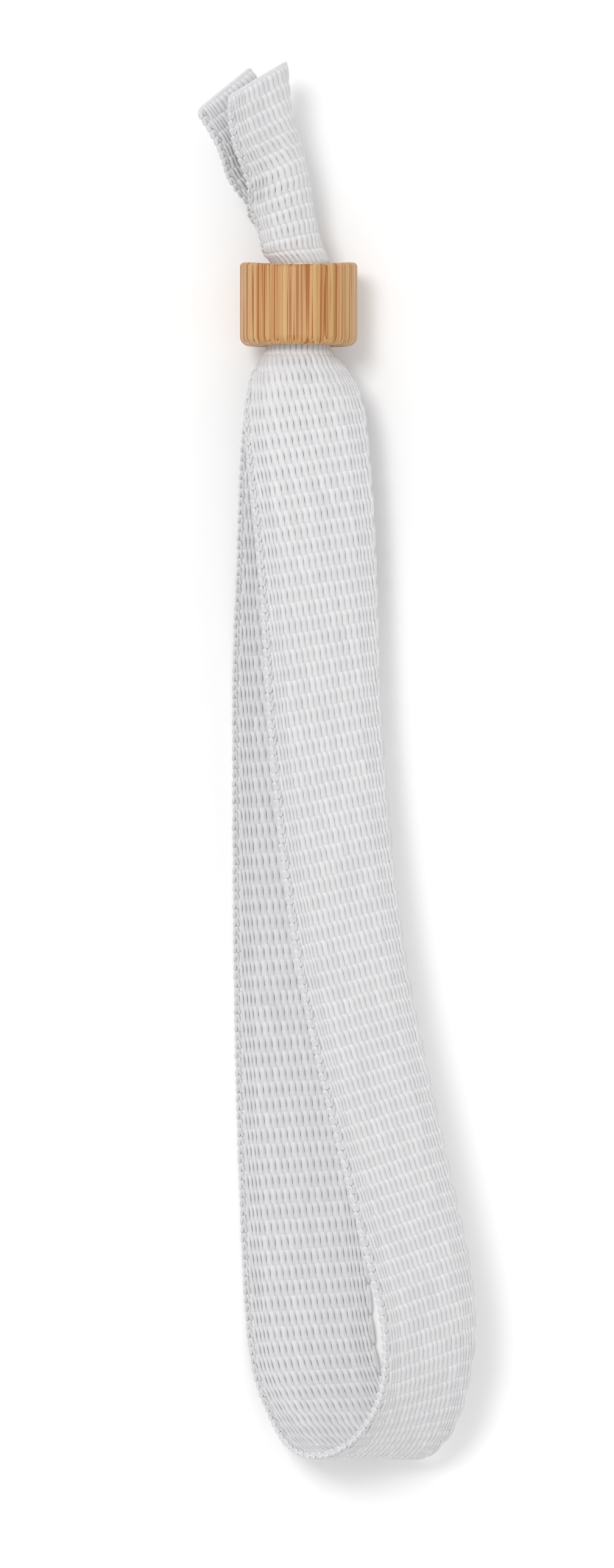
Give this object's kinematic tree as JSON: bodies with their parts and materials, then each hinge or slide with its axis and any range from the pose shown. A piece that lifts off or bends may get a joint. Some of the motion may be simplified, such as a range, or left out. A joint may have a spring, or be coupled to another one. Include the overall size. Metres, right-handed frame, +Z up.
{
  "type": "strap bracelet",
  "caption": "Woven fabric wristband laid as a long loop, both ends passed through a round wooden sliding bead that sets its size.",
  "frame": {"origin": "centre of the bounding box in plan, on the surface that the bracelet lies on", "axes": "+Z up, +Y along the bead's bore, away from the loop and towards the free ends, +X to the right with the free ends away from the viewer"},
  "size_m": [0.0334, 0.167, 0.0233],
  "materials": {
    "webbing": "matt white weave",
    "bamboo": "smooth, lightly lacquered"
  },
  "bodies": {
    "root": {"strap": "webbing", "slider": "bamboo"}
  },
  "joints": []
}
